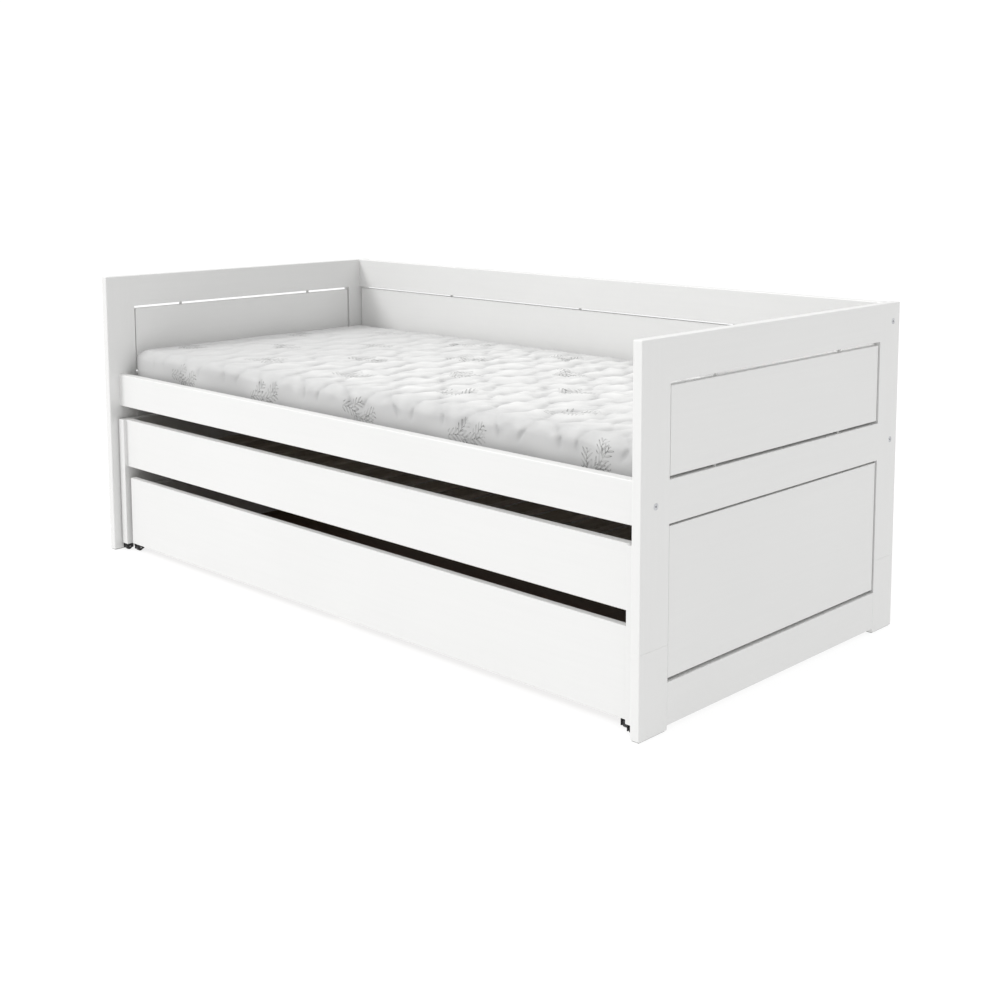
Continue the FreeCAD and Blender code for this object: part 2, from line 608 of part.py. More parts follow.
def guest_bed():
    bolts = guest_bolts()
    holes = [bolt_hole(face, inward) for face, inward, _ in bolts]
    holes += [barrel_hole(face, inward, open_side, GUEST_PANEL) for face, inward, open_side in bolts]
    places = wheel_places(GUEST_WHEEL_X, GUEST_WHEELS_Y)
    pieces = {
        "guest_left_board": guest_board("left", holes),
        "guest_right_board": guest_board("right", holes),
        "guest_front_panel": guest_panel("front", holes),
        "guest_rear_panel": guest_panel("rear", holes),
        "guest_connector_bolts": group([bolt(face, inward) for face, inward, _ in bolts]),
        "guest_barrel_nuts": group([barrel_nut(face, inward) for face, inward, _ in bolts]),
        "guest_wheel_housings": group([housing(x, y) for x, y in places.values()]),
        "guest_wheel_axles": group([axle(x, y) for x, y in places.values()]),
    }
    pieces.update(guest_base())
    for (side_name, end_name), (x, y) in places.items():
        pieces[f"guest_wheel_{side_name}_{end_name}"] = wheel(x, y)
    return pieces


# ---------------------------------------------------------------- drawer
def drawer_walls():
    """The front, back and sides."""
    inner_x = DRAWER_WALL_X - DRAWER_WALL
    side_y = (DRAWER_BOX_Y, DRAWER_REAR_Y)
    wall_z = (DRAWER_WALL_Z, DRAWER_WALL_TOP_Z)
    front_x = (-DRAWER_HALF_WIDTH, DRAWER_HALF_WIDTH)
    walls = {
        "drawer_front": board(front_x, (DRAWER_FRONT_Y, DRAWER_BOX_Y), (DRAWER_FRONT_Z, DRAWER_TOP_Z)),
        "drawer_back": box((-inner_x, inner_x), (DRAWER_REAR_Y - DRAWER_WALL, DRAWER_REAR_Y), wall_z),
    }
    for side_name, side in SIDES.items():
        wall = box((side * inner_x, side * DRAWER_WALL_X), side_y, wall_z)
        walls[f"drawer_{side_name}_side"] = rounded(
            wall, ARRIS, lambda e: runs_along(e, AXIS_Y) and abs(e.CenterOfMass.z - DRAWER_WALL_TOP_Z) < NEAR
        )
    return walls


def drawer():
    side_y = (DRAWER_BOX_Y, DRAWER_REAR_Y)
    bottom_z = (DRAWER_BOTTOM_Z, DRAWER_WALL_Z)
    batten_x = (-BATTEN_WIDTH / 2, BATTEN_WIDTH / 2)
    places = wheel_places(DRAWER_WHEEL_X, DRAWER_WHEELS_Y)
    forks = [wheel_plate(x, y, PLATES_Y[end_name]) for (_, end_name), (x, y) in places.items()]
    pieces = {
        **drawer_walls(),
        "drawer_bottom": group([box((0, side * DRAWER_WALL_X), side_y, bottom_z) for side in SIDES.values()]),
        "drawer_centre_batten": box(batten_x, side_y, (DRAWER_BOTTOM_Z - BATTEN_HEIGHT, DRAWER_BOTTOM_Z)),
        "drawer_wheel_housings": group(forks),
        "drawer_wheel_axles": group([axle(x, y) for x, y in places.values()]),
    }
    for (side_name, end_name), (x, y) in places.items():
        pieces[f"drawer_wheel_{side_name}_{end_name}"] = wheel(x, y)
    for piece in pieces.values():
        piece.translate(AXIS_X * DRAWER_OFFSET)
    return pieces


def wheel_plate(x, y, plate_y):
    """A wheel fork under a flat fixing plate that reaches in under the drawer bottom."""
    inward = -1 if x > 0 else 1
    outer = x - inward * HOUSING_WIDTH / 2
    plate = box((outer, outer + inward * PLATE_WIDTH), plate_y, (HOUSING_TOP_Z, DRAWER_BOTTOM_Z))
    return single(housing(x, y).fuse(plate).removeSplitter())


# ---------------------------------------------------------------- the whole bed
def main_bed():
    gap_dowels = gap_dowel_places()
    frame_dowels = frame_dowel_places()
    bolts = frame_bolts()
    screws = ledger_screw_faces()
    screw_holes = [screw_hole(face, inward) for face, inward in screws]
    wood_holes = [dowel_hole(place) for place in gap_dowels + frame_dowels]
    wood_holes += [bolt_hole(face, inward) for face, inward, _ in bolts]
    for face, inward, open_side in bolts:
        wood_holes.append(barrel_hole(face, inward, open_side, SIDE_RAIL_THICKNESS))
    pieces = {}
    for side_name in SIDES:
        pieces.update(end_frame(side_name, wood_holes))
    for name in LONG_RAILS:
        pieces[name] = long_rail(name, wood_holes + screw_holes)
    pieces["back_panel"] = back_panel(wood_holes)
    pieces["panel_dowels"] = group([dowel(place) for place in gap_dowels])
    pieces["frame_dowels"] = group([dowel(place) for place in frame_dowels])
    pieces["connector_bolts"] = group([bolt(face, inward) for face, inward, _ in bolts])
    pieces["barrel_nuts"] = group([barrel_nut(face, inward) for face, inward, _ in bolts])
    pieces["ledger_screws"] = group([screw(face, inward) for face, inward in screws])
    pieces["foot_glides"] = group(foot_glides())
    pieces.update(bed_base(screw_holes))
    pieces["mattress"] = mattress()
    return pieces


def main():
    os.makedirs("parts", exist_ok=True)
    pieces = {**main_bed(), **guest_bed(), **drawer()}
    for name, shape in pieces.items():
        if not shape.isValid() or not shape.Solids:
            raise ValueError(f"{name} isn't a valid solid")
        shape.exportStep(f"parts/{name}.step")
    print(len(pieces), "nodes,", sum(len(shape.Solids) for shape in pieces.values()), "solids")


main()
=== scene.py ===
import math

import bmesh
import bpy
import numpy as np
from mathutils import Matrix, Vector


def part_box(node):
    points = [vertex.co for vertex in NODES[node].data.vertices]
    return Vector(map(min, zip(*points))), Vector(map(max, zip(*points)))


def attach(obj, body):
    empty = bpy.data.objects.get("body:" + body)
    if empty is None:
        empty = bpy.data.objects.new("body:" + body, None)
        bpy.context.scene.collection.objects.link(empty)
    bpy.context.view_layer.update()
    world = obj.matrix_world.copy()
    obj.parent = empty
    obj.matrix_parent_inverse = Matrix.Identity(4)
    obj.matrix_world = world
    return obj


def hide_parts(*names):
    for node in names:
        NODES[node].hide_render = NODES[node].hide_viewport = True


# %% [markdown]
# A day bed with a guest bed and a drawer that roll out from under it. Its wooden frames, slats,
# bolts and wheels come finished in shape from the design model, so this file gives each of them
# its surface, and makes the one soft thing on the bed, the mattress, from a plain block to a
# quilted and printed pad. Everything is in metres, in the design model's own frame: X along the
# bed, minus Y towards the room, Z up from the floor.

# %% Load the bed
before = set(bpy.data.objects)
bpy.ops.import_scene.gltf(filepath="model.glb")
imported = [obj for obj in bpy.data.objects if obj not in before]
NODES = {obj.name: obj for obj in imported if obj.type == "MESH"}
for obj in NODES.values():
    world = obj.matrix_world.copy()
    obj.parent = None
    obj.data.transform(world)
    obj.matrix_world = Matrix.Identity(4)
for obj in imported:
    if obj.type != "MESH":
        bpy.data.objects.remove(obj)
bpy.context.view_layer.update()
MM = 0.001

# %% [markdown]
# The camera stands to the right of the open front, a little above the bed's top rail. Its lens is
# close to a 50 mm one. Only half of its downward view comes from a tilt, and the other half from
# the lens's shift, so that the posts stay nearly upright.

# %% Camera
CAMERA_PLACE = (2.7805, -2.6574, 1.2034)
CAMERA_AZIMUTH = 43.673
CAMERA_RISE = 6.654
CAMERA_LENS = 50.747
CAMERA_SHIFT = (-0.0292, -0.184)


def direction(azimuth, rise):
    """The direction from the bed to something at that azimuth and height, as degrees."""
    a, e = math.radians(azimuth), math.radians(rise)
    return Vector((math.sin(a) * math.cos(e), -math.cos(a) * math.cos(e), math.sin(e)))


camera = bpy.data.objects.new("camera", bpy.data.cameras.new("camera"))
bpy.context.scene.collection.objects.link(camera)
camera.data.lens = CAMERA_LENS
camera.data.shift_x, camera.data.shift_y = CAMERA_SHIFT
camera.location = CAMERA_PLACE
camera.rotation_mode = "QUATERNION"
camera.rotation_quaternion = (-direction(CAMERA_AZIMUTH, CAMERA_RISE)).to_track_quat("-Z", "Y")
camera.data.clip_end = 200
bpy.context.scene.camera = camera
bpy.context.scene.view_settings.view_transform = "Standard"
print("camera at", CAMERA_PLACE)

# %% [markdown]
# Materials are built from nodes. Colours are written as the hex values that a paint or cloth
# chart gives, and one function turns them into the linear numbers that the renderer wants.
# A second small function adds a node with its settings and its links, whatever its kind.


# %% Colour and node helpers
def linear(hex_colour):
    """A hex colour such as C8C8C8 as linear red, green, blue and alpha."""
    channels = [int(hex_colour[i : i + 2], 16) / 255 for i in (0, 2, 4)]
    return tuple(c / 12.92 if c <= 0.04045 else ((c + 0.055) / 1.055) ** 2.4 for c in channels) + (1.0,)


def add(tree, kind, settings=None, links=None):
    """A new node. Settings and links go by the name of a setting or socket, or a socket's number."""
    node = tree.nodes.new("ShaderNode" + kind)
    for key, value in (settings or {}).items():
        if isinstance(key, str) and hasattr(node, key):
            setattr(node, key, value)
        else:
            node.inputs[key].default_value = value
    for key, source in (links or {}).items():
        output = source if isinstance(source, bpy.types.NodeSocket) else source.outputs[0]
        tree.links.new(output, node.inputs[key])
    return node


def new_material(name):
    """An empty material with its tree, its shader and the object coordinates."""
    material = bpy.data.materials.new(name)
    material.use_nodes = True
    tree = material.node_tree
    tree.nodes.clear()
    shader = add(tree, "BsdfPrincipled")
    add(tree, "OutputMaterial", links={"Surface": shader})
    place = add(tree, "TexCoord").outputs["Object"]
    return material, tree, shader, place


MIX_A, MIX_B, MIX_RESULT = 6, 7, 2  # the colour sockets of a Mix node


def connect(tree, shader, colour=None, roughness=None, normal=None):
    """Joins finished patterns to the shader's sockets."""
    sources = {"Base Color": colour, "Roughness": roughness, "Normal": normal}
    for socket, source in sources.items():
        if source is not None:
            tree.links.new(source, shader.inputs[socket])


# %% [markdown]
# White furniture lacquer over wood is smooth and satin: it hides the colour of the wood, but
# the sprayed film keeps a faint orange peel about a millimetre across, and the grain under it
# still telegraphs as long shallow lines. The grain runs along each board, so the finish comes in
# three versions, one for each direction that a board can lie in.

# %% White lacquer
LACQUER_LIGHT, LACQUER_SHADE = "E0E0DF", "DEDEDD"
LACQUER_ROUGHNESS = (0.34, 0.42)
GRAIN_ACROSS = 1 / (9 * MM)
GRAIN_ALONG = 1 / (260 * MM)
PEEL = 1 / (1.6 * MM)


def make_lacquer(axis):
    material, tree, shader, place = new_material(f"sprayed_white_lacquer_{axis.lower()}")
    scale = [GRAIN_ALONG if letter == axis else GRAIN_ACROSS for letter in "XYZ"]
    stretched = add(tree, "Mapping", {"Scale": scale}, {"Vector": place})
    grain = add(tree, "TexNoise", {"Scale": 1.0, "Detail": 4.0, "Roughness": 0.6}, {"Vector": stretched})
    cloud = add(tree, "TexNoise", {"Scale": 3.5, "Detail": 2.0}, {"Vector": place})
    peel = add(tree, "TexNoise", {"Scale": PEEL, "Detail": 1.0}, {"Vector": place})
    both = add(tree, "Math", {"operation": "ADD"}, {0: grain, 1: cloud})
    share = add(tree, "MapRange", {"From Min": 0.7, "From Max": 1.3}, {"Value": both})
    colours = {"data_type": "RGBA", MIX_A: linear(LACQUER_SHADE), MIX_B: linear(LACQUER_LIGHT)}
    colour = add(tree, "Mix", colours, {0: share}).outputs[MIX_RESULT]
    low, high = LACQUER_ROUGHNESS
    rough = add(tree, "MapRange", {"To Min": low, "To Max": high}, {"Value": cloud})
    lines = add(tree, "Bump", {"Distance": 0.012 * MM}, {"Height": grain})
    film = add(tree, "Bump", {"Distance": 0.01 * MM}, {"Height": peel, "Normal": lines})
    connect(tree, shader, colour, rough.outputs[0], film.outputs[0])
    return material


LACQUER = {axis: make_lacquer(axis) for axis in "XYZ"}
print("lacquer versions:", sorted(LACQUER))

# %% [markdown]
# The slats and ledgers are planed softwood with no finish. Sawn along the trunk, its year rings
# show as long stripes of darker late wood every few millimetres, with finer pores between them.
# A noise pattern stretched along the grain bends those stripes so that no two slats match.

# %% Planed softwood, beech and hardboard
RING_ACROSS = 1 / (14 * MM)
RING_ALONG = 1 / (420 * MM)
RINGS_PER_BAND = 5.0


def make_wood(name, axis, light, dark, finer=1.0):
    material, tree, shader, place = new_material(name)
    scale = [RING_ALONG if letter == axis else RING_ACROSS * finer for letter in "XYZ"]
    stretched = add(tree, "Mapping", {"Scale": scale}, {"Vector": place})
    band = add(tree, "TexNoise", {"Scale": 1.0, "Detail": 3.0, "Distortion": 0.8}, {"Vector": stretched})
    pores = add(tree, "TexNoise", {"Scale": 6.0, "Detail": 4.0}, {"Vector": stretched})
    count = add(tree, "Math", {"operation": "MULTIPLY", 1: RINGS_PER_BAND}, {0: band})
    ring = add(tree, "Math", {"operation": "FRACT"}, {0: count})
    both = add(tree, "Math", {"operation": "MULTIPLY_ADD", 1: 0.6}, {0: ring, 2: pores})
    share = add(tree, "MapRange", {"From Min": 0.3, "From Max": 1.15}, {"Value": both})
    colours = {"data_type": "RGBA", MIX_A: linear(light), MIX_B: linear(dark)}
    colour = add(tree, "Mix", colours, {0: share}).outputs[MIX_RESULT]
    rough = add(tree, "MapRange", {"To Min": 0.55, "To Max": 0.7}, {"Value": pores})
    relief = add(tree, "Bump", {"Distance": 0.12 * MM}, {"Height": pores})
    connect(tree, shader, colour, rough.outputs[0], relief.outputs[0])
    return material


SOFTWOOD = {
    axis: make_wood(f"planed_softwood_{axis.lower()}", axis, "CFC7BB", "B1A89A") for axis in "XY"
}
BEECH = make_wood("beech_dowel", "Z", "B58E63", "97714A", finer=4.0)


def make_hardboard():
    material, tree, shader, place = new_material("brown_hardboard")
    felted = {"Scale": 1 / (2.5 * MM), "Detail": 5.0, "Distortion": 1.2}
    fibre = add(tree, "TexNoise", felted, {"Vector": place})
    blotch = add(tree, "TexNoise", {"Scale": 26.0, "Detail": 3.0}, {"Vector": place})
    both = add(tree, "Math", {"operation": "MULTIPLY_ADD", 1: 0.3}, {0: blotch, 2: fibre})
    share = add(tree, "MapRange", {"From Min": 0.4, "From Max": 0.9}, {"Value": both})
    colours = {"data_type": "RGBA", MIX_A: linear("553F2C"), MIX_B: linear("6E533B")}
    colour = add(tree, "Mix", colours, {0: share}).outputs[MIX_RESULT]
    relief = add(tree, "Bump", {"Distance": 0.15 * MM}, {"Height": fibre})
    connect(tree, shader, colour, normal=relief.outputs[0])
    shader.inputs["Roughness"].default_value = 0.6
    return material


HARDBOARD = make_hardboard()
print("woods:", [m.name for m in (*SOFTWOOD.values(), BEECH, HARDBOARD)])

# %% [markdown]
# The fasteners are steel with a thin layer of zinc. Zinc plate is pale, a little blue, and dulled
# by fine scratches from tumbling. Axles are bright drawn bar. The wheels and their housings are
# moulded black nylon: a dark plastic with a fine spark-eroded skin.


# %% Metals and plastics
def make_hard(name, light, dark, roughness, mark_mm, metallic):
    """A metal or plastic: two close colours in patches, and marks of one size in its skin."""
    material, tree, shader, place = new_material(name)
    marks = add(tree, "TexNoise", {"Scale": 1 / (mark_mm * MM), "Detail": 4.0}, {"Vector": place})
    patch = add(tree, "TexNoise", {"Scale": 110.0, "Detail": 3.0}, {"Vector": place})
    share = add(tree, "MapRange", {"From Min": 0.35, "From Max": 0.65}, {"Value": patch})
    colours = {"data_type": "RGBA", MIX_A: linear(dark), MIX_B: linear(light)}
    colour = add(tree, "Mix", colours, {0: share}).outputs[MIX_RESULT]
    low, high = roughness
    rough = add(tree, "MapRange", {"To Min": low, "To Max": high}, {"Value": marks})
    relief = add(tree, "Bump", {"Distance": 0.03 * MM}, {"Height": marks})
    connect(tree, shader, colour, rough.outputs[0], relief.outputs[0])
    shader.inputs["Metallic"].default_value = metallic
    return material


ZINC = make_hard("zinc_plated_steel", "D6D7D9", "C2C3C6", (0.42, 0.58), 0.8, 1.0)
BRIGHT_BAR = make_hard("drawn_steel_bar", "C4C4C4", "A9A9A8", (0.2, 0.35), 0.5, 1.0)
BLACK_NYLON = make_hard("black_nylon", "1E1E1F", "111112", (0.35, 0.55), 0.6, 0.0)
GREY_POLYTHENE = make_hard("grey_polyethylene", "8C8C8A", "7A7A78", (0.45, 0.6), 0.6, 0.0)
print("metals and plastics:", [m.name for m in (ZINC, BRIGHT_BAR, BLACK_NYLON, GREY_POLYTHENE)])

# %% [markdown]
# The slats are held apart by two black webbing tapes, woven from flat polypropylene yarn. Its
# weave is drawn as the product of two sine waves, one yarn every two millimetres.

# %% Webbing
TAPE_YARN = 2 * MM


def make_weave(tree, across, along, yarn):
    """A plain weave, from 0 between the yarns to 1 on top of them."""
    waves = []
    for source in (across, along):
        angle = add(tree, "Math", {"operation": "MULTIPLY", 1: math.pi / yarn}, {0: source})
        waves.append(add(tree, "Math", {"operation": "SINE"}, {0: angle}))
    woven = add(tree, "Math", {"operation": "MULTIPLY"}, {0: waves[0], 1: waves[1]})
    return add(tree, "MapRange", {"From Min": -1.0}, {"Value": woven})


def make_webbing():
    material, tree, shader, place = new_material("woven_polypropylene_tape")
    parts = add(tree, "SeparateXYZ", links={0: place})
    weave = make_weave(tree, parts.outputs[0], parts.outputs[1], TAPE_YARN)
    colours = {"data_type": "RGBA", MIX_A: linear("1B1B1C"), MIX_B: linear("333336")}
    colour = add(tree, "Mix", colours, {0: weave}).outputs[MIX_RESULT]
    relief = add(tree, "Bump", {"Distance": 0.3 * MM}, {"Height": weave})
    connect(tree, shader, colour, normal=relief.outputs[0])
    shader.inputs["Roughness"].default_value = 0.7
    return material


WEBBING = make_webbing()
print("webbing yarn", TAPE_YARN / MM, "mm wide")


# %% [markdown]
# Each design piece now gets its finish. A board's grain runs along its longest side, which its
# own box tells, so the lacquer version is picked by measuring and not by name.


# %% Give every design piece its finish
def longest_axis(name):
    low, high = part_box(name)
    size = [high[i] - low[i] for i in range(3)]
    return "XYZ"[size.index(max(size))]


def finish_for(name):
    if name in ("bed_slats", "guest_slats"):
        return SOFTWOOD["Y"]
    if name.endswith(("ledger", "ledgers")):
        return SOFTWOOD["X"]
    if name == "drawer_centre_batten":
        return SOFTWOOD["Y"]
    if name == "frame_dowels":
        return BEECH
    if name == "drawer_bottom":
        return HARDBOARD
    if name.endswith(("bolts", "nuts", "screws")):
        return ZINC
    if name.endswith("axles"):
        return BRIGHT_BAR
    if name.endswith("tapes"):
        return WEBBING
    if name == "foot_glides":
        return GREY_POLYTHENE
    if "wheel" in name:
        return BLACK_NYLON
    return LACQUER[longest_axis(name)]


def dress(thing, material):
    thing.data.materials.clear()
    thing.data.materials.append(material)


for name, node in NODES.items():
    dress(node, finish_for(name))
print("dressed", len(NODES), "pieces")

# %% [markdown]
# The mattress is a foam block in a quilted cotton ticking. A block a little smaller than the real
# one is rounded at its edges, cut into an even mesh and blown up from inside by the cloth solver.
# At this pressure the solver makes a balloon of it, with a top over 100 mm too high and sides
# drawn far in, so limits hold back how far a point may move. All of the top but its rim meets
# its limit and rises evenly, without a crown, and the sides only shift. What is left of the
# solver's own shape is the narrow rim where the top rolls over. The quilting does the rest.


# %% Mattress: the foam block
def deselect_all():
    for thing in bpy.context.selected_objects:
        thing.select_set(False)


def select_edges(mesh, wanted):
    """Selects the edges whose two ends pass a test, and nothing else."""
    for element in (*mesh.verts, *mesh.edges, *mesh.faces):
        element.select_set(False)
    for edge in mesh.edges:
        if wanted(edge.verts[0].co, edge.verts[1].co):
            edge.select_set(True)


BLOCK_INSET = 3 * MM  # the block is smaller than the mattress by this much on each side
SETTLED = 7 * MM  # and lower by this much more, which the rise of the top takes up again
CORNER_RADIUS = 6 * MM
TOP_RADIUS = 8 * MM
BOTTOM_RADIUS = 14 * MM
CLEAR_STEP = 30 * MM  # heights further apart than this are not on the same rounded edge
REST_LOW, REST_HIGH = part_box("mattress")

deselect_all()
middle = (REST_LOW + REST_HIGH) / 2
smaller = Vector((2 * BLOCK_INSET, 2 * BLOCK_INSET, BLOCK_INSET + SETTLED))
block_size = REST_HIGH - REST_LOW - smaller
block_middle = middle - Vector((0, 0, smaller.z / 2))
bpy.ops.mesh.primitive_cube_add(size=1, location=block_middle, scale=block_size)
mattress = bpy.context.object
mattress.name = "mattress_pad"
bpy.ops.object.transform_apply(location=True, rotation=True, scale=True)
bpy.ops.object.mode_set(mode="EDIT")
bpy.ops.mesh.select_mode(type="EDGE")
edges_to_round = [  # radius, segments, and which edges, by the heights of their two ends
    (CORNER_RADIUS, 8, lambda a, b: abs(a.z - b.z) > CLEAR_STEP),
    (TOP_RADIUS, 8, lambda a, b: min(a.z, b.z) > middle.z + CLEAR_STEP),
    (BOTTOM_RADIUS, 4, lambda a, b: max(a.z, b.z) < middle.z - CLEAR_STEP),
]
for radius, segments, wanted in edges_to_round:
    edit_mesh = bmesh.from_edit_mesh(mattress.data)
    select_edges(edit_mesh, wanted)
    bmesh.update_edit_mesh(mattress.data)
    bpy.ops.mesh.bevel(offset=radius, segments=segments, profile=0.5, affect="EDGES")
bpy.ops.object.mode_set(mode="OBJECT")
print("foam block:", [round(size, 3) for size in block_size])

# %% Mattress: the cover swells
VOXEL = 10 * MM
SWELL_PRESSURE = 4.0
SWELL_FRAMES = 20
SOLVER_STEPS = 4
POINT_MASS = 0.4
COVER_STIFFNESS = 20
SWELL_TOP = 10 * MM  # limit upwards
SWELL_SIDE = 6 * MM  # limit towards plus X and Y: the left end and the front draw in this far
PULLED_IN = 2 * MM  # limit the other way: the right end and the rear draw in only this far
RAIL_CLEARANCE = 1 * MM


def vertex_array(thing):
    """Every vertex place of a mesh, as rows of x, y and z."""
    flat = np.zeros(len(thing.data.vertices) * 3)
    thing.data.vertices.foreach_get("co", flat)
    return flat.reshape(-1, 3)


def set_vertices(thing, places):
    thing.data.vertices.foreach_set("co", places.astype(np.float32).ravel())
    thing.data.update()


def apply_modifier(thing, modifier):
    bpy.context.view_layer.objects.active = thing
    bpy.ops.object.modifier_apply(modifier=modifier.name)


def smooth_step(value, start, end):
    """0 before start, 1 after end, and an easy curve between them."""
    share = np.clip((value - start) / (end - start), 0, 1)
    return share * share * (3 - 2 * share)


remesh = mattress.modifiers.new("even_mesh", "REMESH")
remesh.mode = "VOXEL"
remesh.voxel_size = VOXEL
apply_modifier(mattress, remesh)
before = vertex_array(mattress)
cloth = mattress.modifiers.new("swell", "CLOTH")
cloth.settings.quality = SOLVER_STEPS
cloth.settings.mass = POINT_MASS
cloth.settings.tension_stiffness = COVER_STIFFNESS
cloth.settings.compression_stiffness = COVER_STIFFNESS
cloth.settings.use_pressure = True
cloth.settings.uniform_pressure_force = SWELL_PRESSURE
cloth.settings.effector_weights.gravity = 0
cloth.point_cache.frame_end = SWELL_FRAMES
for frame_number in range(1, SWELL_FRAMES + 1):
    bpy.context.scene.frame_set(frame_number)
apply_modifier(mattress, cloth)
bpy.context.scene.frame_set(1)
solved = vertex_array(mattress) - before
print("cloth moved up to", round(float(np.abs(solved).max()) / MM, 1), "mm before the limits")
reach = np.array([SWELL_SIDE, SWELL_SIDE, SWELL_TOP])
swollen = np.clip(solved, -PULLED_IN, reach)
held_back = (swollen != solved).any(axis=1)
print("points that the limits hold back:", round(100 * float(held_back.mean())), "%")
places = before + swollen
rail_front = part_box("front_side_rail")[1].y + RAIL_CLEARANCE
rail_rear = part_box("rear_side_rail")[0].y - RAIL_CLEARANCE
places[:, 1] = np.clip(places[:, 1], rail_front, rail_rear)
places[:, 2] = np.maximum(places[:, 2], REST_LOW.z)
set_vertices(mattress, places)
finer = mattress.modifiers.new("finer", "SUBSURF")
finer.levels = finer.render_levels = 1
apply_modifier(mattress, finer)
print("mattress mesh:", len(mattress.data.polygons), "faces")

# %% [markdown]
# The ticking is quilted: wavy rows of stitching about ninety millimetres apart run across the
# bed and draw the wadding down in narrow creases, and it puffs up between them. The creases are
# sculpted into the mesh: each point moves along its own normal by a height that depends on how
# far it is from the nearest row. Distances are measured on the cloth, unfolded over the edges.
# Sine waves in random directions, added up, bend the rows and give the puffs their lumps.

# %% Quilting: the cloth laid flat, and its rows of stitching
ROW_PITCH = 91 * MM
ROW_WAVE = 17 * MM
ROW_WAVE_LENGTH = 175 * MM
FOLD_START = 60 * MM  # how far in from an edge the cloth starts to count as folded down
FOLD_END = 10 * MM
FAR = 1.0
noise_source = np.random.default_rng(7)


def waves_noise(a, b, length, count=14):
    """Smooth seeded noise about one length across, from sine waves in random directions."""
    total = np.zeros_like(a)
    for _ in range(count):
        turn = noise_source.uniform(0, 2 * math.pi)
        size = 2 * math.pi / (length * noise_source.uniform(0.7, 1.6))
        shift = noise_source.uniform(0, 2 * math.pi)
        total += np.sin(size * (a * math.cos(turn) + b * math.sin(turn)) + shift)
    return total / math.sqrt(count)


def unfold(places):
    """The cloth's own flat coordinates: the sides are folded out level with the top."""
    half = (REST_HIGH - REST_LOW) / 2
    hang = places[:, 2].max() - places[:, 2]
    flat = []
    for axis in (0, 1):
        offset = places[:, axis] - (REST_LOW[axis] + half[axis])
        near_edge = smooth_step(np.abs(offset), half[axis] - FOLD_START, half[axis] - FOLD_END)
        flat.append(offset + np.sign(offset) * hang * near_edge)
    return flat


def row_distance(u, v):
    """Distance from each point to the nearest wavy row of stitching."""
    nearest = np.full_like(u, FAR)
    index = np.round(u / ROW_PITCH)
    for step in (-1, 0, 1):
        row = index + step
        swing = np.where(row % 2 == 0, 1.0, -1.0)
        line = row * ROW_PITCH + swing * ROW_WAVE * np.sin(2 * math.pi * v / ROW_WAVE_LENGTH)
        nearest = np.minimum(nearest, np.abs(u - line))
    return nearest


places = vertex_array(mattress)
normals = np.zeros(len(places) * 3, np.float32)
mattress.data.vertex_normals.foreach_get("vector", normals)
normals = normals.reshape(-1, 3).astype(float)
cloth_u, cloth_v = unfold(places)
bent_u = cloth_u + 7 * MM * waves_noise(cloth_u, cloth_v, 230 * MM)
bent_v = cloth_v + 14 * MM * waves_noise(cloth_u, cloth_v, 310 * MM)
distance = row_distance(bent_u, bent_v)
print("rows of stitching across the bed:", round(float(np.ptp(cloth_u)) / ROW_PITCH))

# %% [markdown]
# A crease is deepest on its row and rises in an arc to the puff beside it. The stitches gather
# the cloth into small folds that die out with the distance from the row, and the wadding is a
# little lumpy. None of this reaches full height everywhere: the cover is pulled tight at the
# left end and is calmer along the edges of the top, and the relief ends where the side begins.

# %% Quilting: creases, gathers and lumps
CREASE_DEPTH = 9.5 * MM
CREASE_HALF_WIDTH = 42 * MM
GATHER_DEPTH = 2.4 * MM
GATHER_LENGTH = 34 * MM
LUMP_HEIGHT = 2.1 * MM
LUMP_LENGTH = 66 * MM
RELIEF_ENDS = 62 * MM  # how far below the top the relief has died out
RELIEF_FADES = 26 * MM
TIGHT_END = 0.2  # share of the relief left where the cover is pulled tight, at the left end
TIGHT_UNTIL_X = 0.1
BORDER_CALM = 0.35  # the same along the edges of the top
CALM_WIDTH = 110 * MM
HALF_LENGTH, HALF_WIDTH = 1000 * MM, 450 * MM

share = np.clip(distance / CREASE_HALF_WIDTH, 0, 1)
puff = np.sqrt(1 - (1 - share) ** 2)
gathers = waves_noise(cloth_u, cloth_v, GATHER_LENGTH) * np.exp(-distance / GATHER_LENGTH)
lumps = waves_noise(cloth_u, cloth_v, LUMP_LENGTH)
top_z = places[:, 2].max()
on_top = smooth_step(places[:, 2], top_z - RELIEF_ENDS, top_z - RELIEF_FADES)
slack = TIGHT_END + (1 - TIGHT_END) * smooth_step(places[:, 0], REST_LOW.x, TIGHT_UNTIL_X)
from_side = HALF_WIDTH - np.abs(places[:, 1] - places[:, 1].mean())
inward = np.minimum(from_side, HALF_LENGTH - np.abs(places[:, 0]))
calm = BORDER_CALM + (1 - BORDER_CALM) * smooth_step(inward, 0.0, CALM_WIDTH)
bumps = CREASE_DEPTH * (puff - 1) + GATHER_DEPTH * gathers + LUMP_HEIGHT * lumps
height = on_top * slack * calm * bumps
print("creases up to", round(float(-height.min()) / MM, 1), "mm deep")

# %% [markdown]
# The side of a mattress is a plain border, sewn on with a seam near the bottom. It waves a little
# and shows a short upright pucker below the end of each row, where the thread pulls the cloth in.

# %% Quilting: the border, its seam and its puckers
SEAM_DEPTH = 3 * MM
SEAM_HALF_WIDTH = 3 * MM
SEAM_Z = REST_LOW.z + 30 * MM
BORDER_WAVE = 1.2 * MM
BORDER_WAVE_LENGTH = 210 * MM
PUCKER_DEPTH = 3.5 * MM
PUCKER_HALF_WIDTH = 5 * MM
PUCKER_STARTS = (8 * MM, 22 * MM)  # below the top
PUCKER_ENDS = (34 * MM, 58 * MM)

